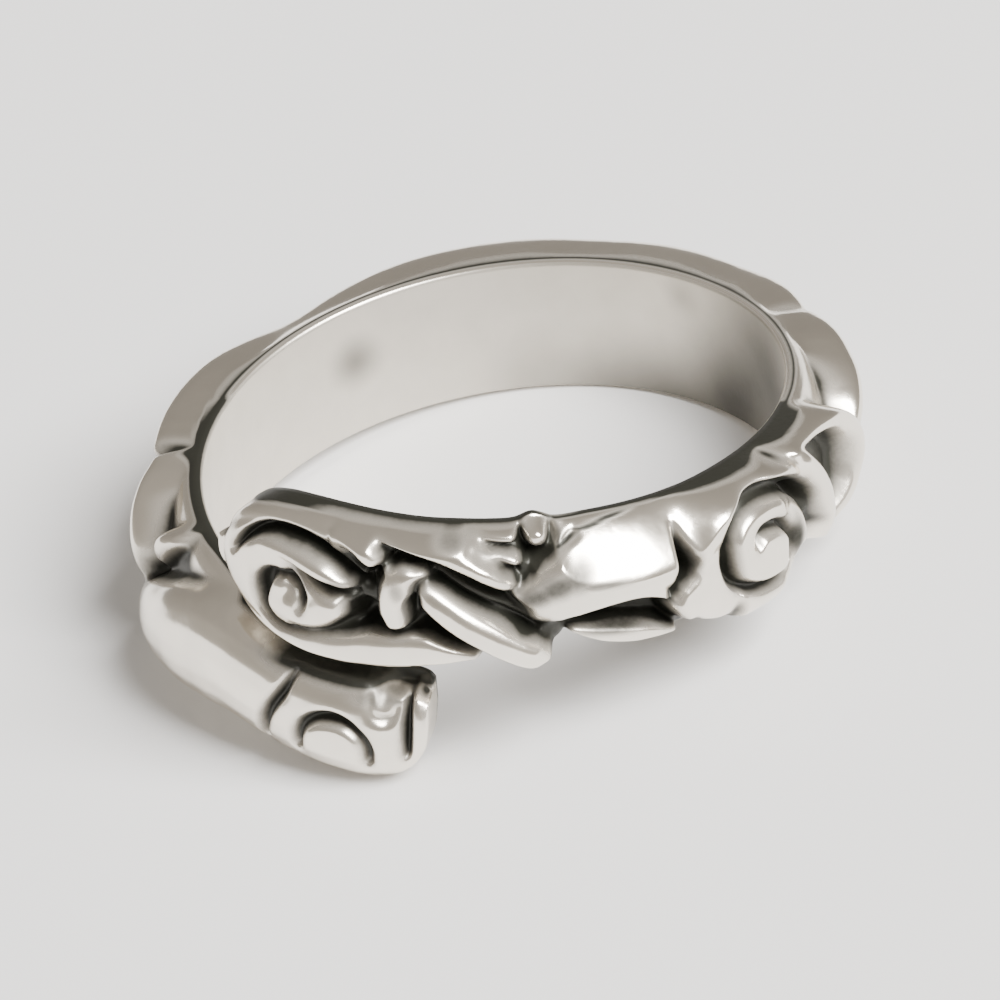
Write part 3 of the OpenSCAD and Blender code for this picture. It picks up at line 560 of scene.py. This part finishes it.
class StageSettings(bpy.types.PropertyGroup):
    floor: FloatVectorProperty(
        name="Floor", description="Colour of the floor", subtype="COLOR", default=(0.79, 0.79, 0.795), min=0, max=1)
    room: FloatVectorProperty(
        name="Room", description="Colour of the room round the ring", subtype="COLOR",
        default=(0.44, 0.412, 0.375), min=0, max=1)
    window: FloatProperty(
        name="Window light", description="Power of the window light, in watts", default=29.0, min=0)
    lens: FloatProperty(
        name="Lens", description="Focal length of the camera", default=373.6, min=50, max=1000, unit="CAMERA")
    distance: FloatProperty(
        name="Camera distance", description="Distance from the camera to the ring",
        default=0.3, min=0.1, max=2, unit="LENGTH")
    elevation: FloatProperty(
        name="Camera height", description="Angle of the camera above the plane of the ring",
        default=math.radians(32.4), min=0, max=math.pi / 2, subtype="ANGLE")
    roll: FloatProperty(
        name="Camera roll", description="Turn of the camera about its own line of sight",
        default=math.radians(-5.27), subtype="ANGLE")
    aim_height: FloatProperty(
        name="Aim", description="Height along the ring's axis of the point that the camera looks at",
        default=-0.00096, unit="LENGTH", precision=5)


def ring_place():
    """Matrix from the ring's own axes, in metres, to the way it lies on the table."""
    x, y, z = BORE["axis"]
    return (Matrix.Translation(BORE["pos_m"]) @ Matrix.Rotation(-math.atan2(y, z), 4, "X")
            @ Matrix.Rotation(math.asin(x), 4, "Y"))


def spiral_rows(at):
    """Rows of the spiral that is cut into a haunch of the back."""
    (first, step), (radius, closing), (width, thinning) = BACK_SPIRAL_TURN, BACK_SPIRAL_RADIUS, BACK_SPIRAL_WIDTH
    rows = []
    for point in range(BACK_SPIRAL_POINTS):
        turn = math.radians(first + point * step)
        reach = radius - closing * point
        rows.append((at + reach * math.cos(turn) / MM_PER_DEGREE, reach * math.sin(turn), width - thinning * point))
    return rows


def plait_rows(first, last, side):
    """Rows of one of a plait's two strands, where side is 1 or -1."""
    angle, rows = first, []
    while angle <= last:
        turn = math.radians((angle - first) * 360 / PLAIT_WAVE)
        rows.append((angle, side * PLAIT_SWING * math.sin(turn), PLAIT_HALF_WIDTH,
                     PLAIT_CROWN + side * PLAIT_RISE * math.cos(turn)))
        angle += PLAIT_WAVE / PLAIT_POINTS
    return rows


def core_angles():
    """Angles of the core's points, which follow the edge line closely at both ends of the strip."""
    first, last = CORE_EVEN
    at = [row[0] for row in EDGES[1:-1]]
    return np.concatenate([[angle for angle in at if angle < first], np.arange(first, last, CORE_STEP),
                           [angle for angle in at if angle > last]])


def lay_out_work(settings):
    """Two boards of wires: the strands and the ground's core, and the grooves to be cut."""
    edge, ground = settings.edge_thickness / BENCH, settings.ground_thickness / BENCH
    strands = [strand_wire(name, depth, rows) for name, (depth, rows) in STRANDS.items()]
    grooves = [groove_wire(name, depth, rows) for name, (depth, rows) in GROOVES.items()]
    for at in BACK_LIMB_AT:
        for name, (depth, rows) in BACK_LIMB.items():
            strands.append(strand_wire(name, depth, [(row[0] + at, *row[1:]) for row in rows]))
        grooves.append(groove_wire("spiral", BACK_SPIRAL_DEPTH, spiral_rows(at)))
    for first, last in PLAITS:
        for side in (-1, 1):
            strands.append(strand_wire("plait", ROUND_DEPTH, plait_rows(first, last, side)))
    at = core_angles()
    low, high = edge_line(at, 1), edge_line(at, 2)
    rows = zip(bench_place(at), (low + high) / 2, np.full(len(at), edge), (high - low) / 2)
    strands.append(roll_wire("core", list(rows), (ground - edge) / CORE_HALF_WIDTH))
    deselect_all()
    bpy.ops.mesh.primitive_grid_add(x_subdivisions=2, y_subdivisions=2, size=2, location=(STRIP_LENGTH / 2, 0, edge))
    bpy.ops.transform.resize(value=(STRIP_LENGTH, PLATE_HALF_WIDTH, 1), center_override=(STRIP_LENGTH / 2, 0, edge))
    bpy.ops.object.transform_apply(location=True, rotation=True, scale=True)
    strands.append(bpy.context.object)
    return join(strands, "strands"), join(grooves, "grooves")


def sound(board, along, across, falling):
    """Heights of a fine net of points that is let down, or lifted, on to a board."""
    columns, rows = along.shape
    deselect_all()
    bpy.ops.mesh.primitive_grid_add(x_subdivisions=columns - 1, y_subdivisions=rows - 1, size=2)
    net = bpy.context.object
    column, row = grid_order(net, columns, rows)
    start = HIGH_SHELF if falling else LOW_SHELF
    set_points(net, np.stack([along[column, row], across[column, row], np.full(len(row), start)], 1))
    apply_modifier(net, "SHRINKWRAP", target=board, wrap_method="PROJECT", wrap_mode="ON_SURFACE",
                   use_project_z=True, use_negative_direction=falling, use_positive_direction=not falling)
    height = np.zeros((columns, rows))
    height[column, row] = points_of(net)[:, 2]
    remove(net)
    remove(board)
    return height


def grid_order(grid, columns, rows):
    """Column and row of each vertex of a new grid."""
    return np.rint((points_of(grid)[:, :2] + 1) / 2 * (columns - 1, rows - 1)).astype(int).T


def soften(height, passes):
    """Rounds a height field off by averaging each point with its neighbours."""
    for _ in range(passes):
        for axis in (0, 1):
            here, there = shift_pairs(height, 1, axis)
            mean = height.copy()
            mean[here] += (height[there] - height[here]) / 4
            mean[there] += (height[here] - height[there]) / 4
            height = mean
    return height


def roll(gap, fullness):
    """Share of its full height that the relief reaches at a distance from the edge, as a share of the roll's width."""
    return (1 - (1 - np.clip(gap, 0, 1)) ** fullness) ** (1 / fullness)


def crowded_rows(height, across):
    """Places of the sheet's rows in the fine net, closer together where the relief is steep."""
    slope = np.abs(np.gradient(height, axis=1) / np.gradient(across, axis=1))
    weight = soften(1 + SLOPE_CROWDING * np.minimum(slope, STEEPEST), CROWDING_PASSES) * np.gradient(across, axis=1)
    total = np.concatenate([np.zeros((len(weight), 1)), np.cumsum((weight[:, 1:] + weight[:, :-1]) / 2, 1)], 1)
    share = np.linspace(0, 1, ROWS_ACROSS + 1)
    count = np.arange(total.shape[1])
    return np.array([np.interp(share * row[-1], row, count) for row in total])


def between(values, place):
    """Smooth values along each row, at places between its points."""
    last = values.shape[1] - 1
    i = np.clip(place.astype(int), 0, last - 1)
    t = place - i
    a, b, c, d = (np.take_along_axis(values, np.clip(i + step, 0, last), 1) for step in (-1, 0, 1, 2))
    return b + t * (c - a + t * (2 * a - 5 * b + 4 * c - d + t * (3 * (b - c) + d - a))) / 2


def model_band(settings):
    edge = settings.edge_thickness / BENCH
    strands, grooves = lay_out_work(settings)

    # The fine net has a point halfway between those of the sheet, in both directions
    angles = column_angles()
    fine = np.empty(2 * len(angles) - 1)
    fine[::2] = angles
    fine[1::2] = (angles[1:] + angles[:-1]) / 2
    line = np.linspace(-1, 1, 2 * ROWS_ACROSS + 1)
    side = EDGE_CROWDING * np.sin(line * math.pi / 2) + (1 - EDGE_CROWDING) * line
    low, high = edge_line(fine, 1), edge_line(fine, 2)
    along = np.repeat(bench_place(fine)[:, None], len(line), 1)
    across = (low + high)[:, None] / 2 + side[None] * (high - low)[:, None] / 2

    # It drops on to the strands, and the grooves are sunk into it
    height = sound(strands, along, across, True)
    cut = sound(grooves, along, across, False)
    cut[cut <= LOW_SHELF + SHELF_SLACK] = 0
    half_width = (high - low)[:, None] / 2
    low_gap = np.minimum((1 + side)[None] * half_width, np.minimum(along, STRIP_LENGTH - along)) / ROLL_WIDTH
    high_gap = (1 - side)[None] * half_width / edge_line(fine, 3)[:, None]
    high_roll = roll(high_gap, edge_line(fine, 4)[:, None])
    roll_over = edge + ROLL_HEIGHT * np.minimum(roll(low_gap, LOW_FULLNESS), high_roll)
    height = soften(np.minimum(height, roll_over) + np.minimum(cut, 0), settings.smoothing)
    height = np.maximum(np.minimum(height, roll_over), edge)

    # The sheet's rows draw together on the steep sides of the relief
    place = crowded_rows(height, across)[::2]
    cut = between(cut[::2], place)
    height, across, along = between(height[::2], place), between(across[::2], place), along[::2, ::2]

    deselect_all()
    columns, rows = height.shape
    bpy.ops.mesh.primitive_grid_add(x_subdivisions=columns - 1, y_subdivisions=rows - 1, size=2)
    sheet = bpy.context.object
    sheet.name = "band"
    column, row = grid_order(sheet, columns, rows)
    set_points(sheet, np.stack([along[column, row], across[column, row], height[column, row]], 1))

    black = blackening(height, cut, along, across)[column, row]
    thicken(sheet, settings)
    inner = points_of(sheet)[:, 2] < settings.rim_round / BENCH / 2
    # The folded border carries on the painted shade line of the high edge, and the inner wall has none
    angle = END_HIGH - points_of(sheet)[:, 0] / MM_PER_DEGREE
    outline = (points_of(sheet)[:, 1] > 0) * smooth_step(np.interp(angle, *np.array(RIM_SHADE_LINE).T), *RIM_SHADE_FOLDED)
    outline[:len(black)] = black
    paint(sheet, "blackening", np.where(inner, 0, outline))
    paint(sheet, "inner_wall", inner)
    wind(sheet, settings)
    return sheet


def paint(sheet, name, values):
    """Keeps a value for each point of the sheet."""
    attribute = sheet.data.attributes.new(name, "FLOAT", "POINT")
    attribute.data.foreach_set("value", values.astype(np.float32))


def blackening(height, cut, along, across):
    """Blackening stays in the cuts, and where a polishing wheel can't reach. Painted shadow lies under the upper end,
    and painted shade and dark reflections lie in smears and along the high edge.
    """
    angle = END_HIGH - along / MM_PER_DEGREE
    # Painted shadow where the lower end lies under the upper end
    black = smooth_step(across, *SHADOW_UNDER_END_ACROSS) * (1 - smooth_step(angle, *SHADOW_UNDER_END_ANGLES))
    for radius, steps, depths in WHEELS:
        black = np.maximum(black, smooth_step(out_of_reach(height, along, across, radius, steps), *depths))
    black = soften(np.maximum(black, CUT_STRENGTH * smooth_step(-cut, *CUT_BLACKENED)), BLACKENING_PASSES)
    # Smears of painted shade and dark reflections, with some patina
    for at, middle, half_length, half_width, rise, strength in SHADE_SMEARS:
        away = (at - angle) * MM_PER_DEGREE
        spread = (away / half_length) ** 2 + ((across - middle - rise * away) / half_width) ** 2
        black = np.maximum(black, strength * np.exp(-spread ** SHADE_SMEAR_FALLOFF))
    # Painted shade line along the high edge
    from_edge = (across[:, -1:] - across) / np.interp(angle, *np.array(RIM_SHADE_LINE).T)
    return np.maximum(black, 1 - smooth_step(from_edge, *RIM_SHADE_FADE))


def thicken(sheet, settings):
    """Folds the sheet's border down and in, and closes the inner wall."""
    rim = settings.rim_round / BENCH
    pick(sheet)
    bpy.ops.object.mode_set(mode="EDIT")
    bpy.ops.mesh.select_mode(type="EDGE")
    bpy.ops.mesh.select_all(action="SELECT")
    bpy.ops.mesh.region_to_loop()
    # Down to the rim, in round it, and in once more so that the shading of the wall starts beside the rounding
    for height, inset in ((rim, 0), (0, rim), (0, rim)):
        bpy.ops.object.mode_set(mode="EDIT")
        bpy.ops.mesh.extrude_edges_move()
        bpy.ops.object.mode_set(mode="OBJECT")
        level_border(sheet, height, inset)
    part_border(sheet)
    bpy.ops.object.mode_set(mode="EDIT")
    bpy.ops.mesh.bridge_edge_loops()
    bpy.ops.mesh.select_all(action="SELECT")
    bpy.ops.mesh.normals_make_consistent(inside=False)
    bpy.ops.object.mode_set(mode="OBJECT")


def level_border(sheet, height, inset):
    """Sets the selected border to a height, and draws it in from the outline."""
    picked = np.zeros(len(sheet.data.vertices), bool)
    sheet.data.vertices.foreach_get("select", picked)
    co = points_of(sheet)
    border = co[picked]
    border[:, 2] = height
    if inset:
        angles = END_HIGH - border[:, 0] / MM_PER_DEGREE
        low, high = edge_line(angles, 1), edge_line(angles, 2)
        middle, half = (low + high) / 2, (high - low) / 2
        off_middle = border[:, 1] - middle
        border[:, 1] = middle + off_middle * (1 - inset / half)
        # The ends are drawn in most at their corners, so that they bow out
        drawn_in = inset * (1 + (off_middle / half) ** 2)
        border[:, 0] = STRIP_LENGTH / 2 + (border[:, 0] - STRIP_LENGTH / 2) * (1 - 2 * drawn_in / STRIP_LENGTH)
    co[picked] = border
    set_points(sheet, co)


def part_border(sheet):
    """Parts the selected border at the middle of each end, so that the low and the high side can be bridged."""
    edges = sheet.data.edges
    picked = np.zeros(len(edges), bool)
    edges.foreach_get("select", picked)
    ends = np.zeros(len(edges) * 2, int)
    edges.foreach_get("vertices", ends)
    border = np.flatnonzero(picked)
    place = points_of(sheet)[ends.reshape(-1, 2)[border]].mean(1)
    # Both sides get the same number of edges
    for end, before_middle in ((0, 0), (STRIP_LENGTH, 1)):
        near = np.abs(place[:, 0] - end) < END_REACH
        upwards = border[near][np.argsort(place[near, 1])]
        picked[upwards[len(upwards) // 2 - before_middle]] = False
    edges.foreach_set("select", picked)


def wind(sheet, settings):
    """Bends the flat strip round the finger hole, and lays the ring on the table."""
    rise = settings.pitch / BENCH / (360 * MM_PER_DEGREE)
    middle = rise * STRIP_LENGTH / 2
    sheet.data.transform(Matrix((
        (1, 0, 0, 0),
        (0, 0, -1, RELIEF_MIDDLE),
        (-rise, 1, 0, middle),
        (0, 0, 0, 1),
    )))
    sheet.data.update()
    apply_modifier(sheet, "SIMPLE_DEFORM", deform_method="BEND", deform_axis="Z", angle=STRIP_LENGTH / WRAP_RADIUS)
    turn = Matrix.Rotation(math.radians(-END_HIGH), 4, "Z")
    sheet.data.transform(ring_place() @ Matrix.Scale(BENCH, 4) @ turn @ Matrix.Translation((0, -WRAP_RADIUS, 0)))
    sheet.data.update()
    pick(sheet)
    bpy.ops.object.shade_smooth_by_angle(angle=math.radians(CRISP_ANGLE))


class Socket:
    """A node socket that takes part in plain arithmetic."""

    def __init__(self, tree, socket):
        self.tree, self.socket = tree, socket

    def _maths(self, operation, a, b=None, clamp=False):
        return self.tree.add("ShaderNodeMath", {"operation": operation, "use_clamp": clamp},
                             {0: a} if b is None else {0: a, 1: b})

    def __add__(self, other):
        return self._maths("ADD", self, other)

    def __radd__(self, other):
        return self._maths("ADD", other, self)

    def __sub__(self, other):
        return self._maths("SUBTRACT", self, other)

    def __rsub__(self, other):
        return self._maths("SUBTRACT", other, self)

    def __mul__(self, other):
        return self._maths("MULTIPLY", self, other)

    def __rmul__(self, other):
        return self._maths("MULTIPLY", other, self)

    def __truediv__(self, other):
        return self._maths("DIVIDE", self, other)

    def clamped(self):
        return self._maths("ADD", self, 0, clamp=True)


class ShaderTree:
    """The node tree of a material, built from expressions."""

    def __init__(self, tree):
        self.nodes, self.links = tree.nodes, tree.links
        self.nodes.clear()

    def add(self, kind, settings=None, inputs=None, output=0):
        node = self.nodes.new(kind)
        for key, value in (settings or {}).items():
            if key == "stops":
                ramp = node.color_ramp.elements
                while len(ramp) < len(value):
                    ramp.new(0.5)
                for element, (position, colour) in zip(ramp, value):
                    element.position, element.color = position, colour
            else:
                setattr(node, key, value)
        for key, value in (inputs or {}).items():
            if isinstance(value, Socket):
                self.links.new(value.socket, node.inputs[key])
            else:
                node.inputs[key].default_value = value
        return Socket(self, node.outputs[output]) if node.outputs else node


def new_material(name):
    """A material and its empty tree."""
    material = bpy.data.materials.new(name)
    material.use_nodes = True
    return material, ShaderTree(material.node_tree)


def silver_material(settings):
    material, tree = new_material("oxidised_silver")
    place = tree.add("ShaderNodeTexCoord", output="Object")
    black = tree.add("ShaderNodeAttribute", {"attribute_name": "blackening"}, output="Fac")
    cloudy = tree.add("ShaderNodeTexNoise", inputs={"Vector": place, **CLOUDS}, output="Fac")
    speckle = tree.add("ShaderNodeTexNoise", inputs={"Vector": place, **SPECKLES}, output="Fac")
    inner = tree.add("ShaderNodeAttribute", {"attribute_name": "inner_wall"}, output="Fac")
    dullness_and_shade = INNER_DULLNESS
    # Painted shade on the inner wall, and one dark smudge
    for at, reach, strength in SMUDGE_AND_SHADE_PATCHES:
        away = tree.add("ShaderNodeVectorMath", {"operation": "DISTANCE"},
                        {0: place, 1: tuple(c * BENCH for c in at)}, output=1)
        near = (1 - away / (reach * BENCH)).clamped()
        dullness_and_shade = dullness_and_shade + near * near * (3 - 2 * near) * strength
    # One mask carries the blackening, the painted shade, and the inner wall's dullness with its painted shade
    speckled = (speckle - 0.5) * black * (1 - black) * SPECKLE_STRENGTH
    mask = (black * BLACK_STRENGTH + speckled + inner * dullness_and_shade).clamped()
    tone = tree.add("ShaderNodeMix", {"data_type": "RGBA"}, {
        0: (cloudy - CLOUD_START) * CLOUD_STRENGTH, 6: (*settings.bright, 1),
        7: (*(c * CLOUD_TONE for c in settings.bright), 1)}, output=2)
    colour = tree.add("ShaderNodeMix", {"data_type": "RGBA"}, {0: mask, 6: tone, 7: (*settings.black, 1)}, output=2)
    roughness = settings.haze + (cloudy - 0.5) * CLOUD_ROUGHNESS + mask * BLACK_ROUGHNESS + inner * INNER_ROUGHNESS
    grain = tree.add("ShaderNodeBump", inputs={
        "Strength": GRAIN_STRENGTH, "Distance": GRAIN_DEPTH,
        "Height": speckle * (GRAIN_SPECKLES + mask) + cloudy * GRAIN_CLOUDS})
    shader = tree.add("ShaderNodeBsdfPrincipled", inputs={
        "Base Color": colour, "Metallic": 1 - mask * BLACK_COVER, "Roughness": roughness.clamped(), "Normal": grain})
    tree.add("ShaderNodeOutputMaterial", inputs={"Surface": shader})
    return material


class RING_OT_band(bpy.types.Operator):
    """Lays the strands and grooves out flat, drapes the sheet over them and winds it into the ring"""
    bl_idname = "ring.band"
    bl_label = "Cast band"

    def execute(self, context):
        scene = context.scene
        band = model_band(scene.ring_band)
        band.data.materials.clear()
        band.data.materials.append(silver_material(scene.ring_silver))
        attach(band, "root")
        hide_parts(NODE)
        return {"FINISHED"}


def add_window(power):
    """A large soft light from the right, in front of the ring."""
    deselect_all()
    bpy.ops.object.light_add(type="AREA", location=WINDOW_PLACE)
    lamp = bpy.context.object
    lamp.name = "window"
    lamp.data.shape = "RECTANGLE"
    lamp.data.size, lamp.data.size_y = WINDOW_SIZE
    lamp.data.energy = power
    lamp.data.color = WINDOW_COLOUR
    way = Vector(WINDOW_AIM) - lamp.location
    lamp.rotation_euler = way.to_track_quat("-Z", "Y").to_euler()


class RING_OT_stage(bpy.types.Operator):
    """Adds the pale floor, the soft lights and the camera"""
    bl_idname = "ring.stage"
    bl_label = "Stage"

    def execute(self, context):
        settings = context.scene.ring_stage
        deselect_all()
        bpy.ops.mesh.primitive_plane_add(size=FLOOR_SIZE)
        floor = context.object
        floor.name = "floor"
        material, tree = new_material("pale_floor")
        shader = tree.add("ShaderNodeBsdfPrincipled", inputs={
            "Base Color": (*settings.floor, 1), "Roughness": FLOOR_ROUGHNESS, "Specular IOR Level": FLOOR_SHINE})
        tree.add("ShaderNodeOutputMaterial", inputs={"Surface": shader})
        floor.data.materials.append(material)

        world = bpy.data.worlds.new("room")
        context.scene.world = world
        world.use_nodes = True
        room = ShaderTree(world.node_tree)
        way = room.add("ShaderNodeTexCoord", output="Generated")
        height = room.add("ShaderNodeSeparateXYZ", inputs={"Vector": way}, output="Z")
        back = room.add("ShaderNodeSeparateXYZ", inputs={"Vector": way}, output="Y").clamped()
        stops = [(place, (*(share * c for c in settings.room), 1)) for place, share in ROOM_TONES]
        ramp = room.add("ShaderNodeValToRGB", {"stops": stops}, {"Fac": height})
        background = room.add("ShaderNodeBackground", inputs={
            "Color": ramp, "Strength": 1 - back * (1 - height) * BACK_SHADE})
        room.add("ShaderNodeOutputWorld", inputs={"Surface": background})

        add_window(settings.window)

        bpy.ops.object.camera_add()
        camera = context.object
        camera.name = "photo_camera"
        camera.data.sensor_width = SENSOR_WIDTH
        camera.data.lens = settings.lens
        camera.data.clip_start, camera.data.clip_end = CLIPPING
        back = Vector((0, -math.cos(settings.elevation), math.sin(settings.elevation)))
        right = Vector((1, 0, 0))
        up = right.cross(-back)
        turned_right = right * math.cos(settings.roll) + up * math.sin(settings.roll)
        turned_up = up * math.cos(settings.roll) - right * math.sin(settings.roll)
        eye = Vector((0, 0, settings.aim_height)) + back * settings.distance
        axes = Matrix((turned_right, turned_up, back)).transposed().to_4x4()
        camera.matrix_world = ring_place() @ Matrix.Translation(eye) @ axes
        context.scene.camera = camera
        return {"FINISHED"}


class RING_PT_panel(bpy.types.Panel):
    """Settings and steps of the adjustable ring"""
    bl_idname = "RING_PT_panel"
    bl_label = "Adjustable ring"
    bl_space_type = "VIEW_3D"
    bl_region_type = "UI"
    bl_category = "Ring"

    def draw(self, context):
        for group, operator in ((context.scene.ring_band, None), (context.scene.ring_silver, RING_OT_band),
                                (context.scene.ring_stage, RING_OT_stage)):
            box = self.layout.box()
            for key in group.bl_rna.properties.keys():
                if key not in ("rna_type", "name"):
                    box.prop(group, key)
            if operator:
                box.operator(operator.bl_idname)


CLASSES = (BandSettings, SilverSettings, StageSettings, RING_OT_band, RING_OT_stage, RING_PT_panel)
GROUPS = {"ring_band": BandSettings, "ring_silver": SilverSettings, "ring_stage": StageSettings}


def register():
    for cls in CLASSES:
        bpy.utils.register_class(cls)
    for name, cls in GROUPS.items():
        setattr(bpy.types.Scene, name, PointerProperty(type=cls))


def unregister():
    for name in GROUPS:
        delattr(bpy.types.Scene, name)
    for cls in reversed(CLASSES):
        bpy.utils.unregister_class(cls)


def main():
    register()
    bpy.ops.ring.band()
    bpy.ops.ring.stage()


if __name__ == "__main__":
    main()
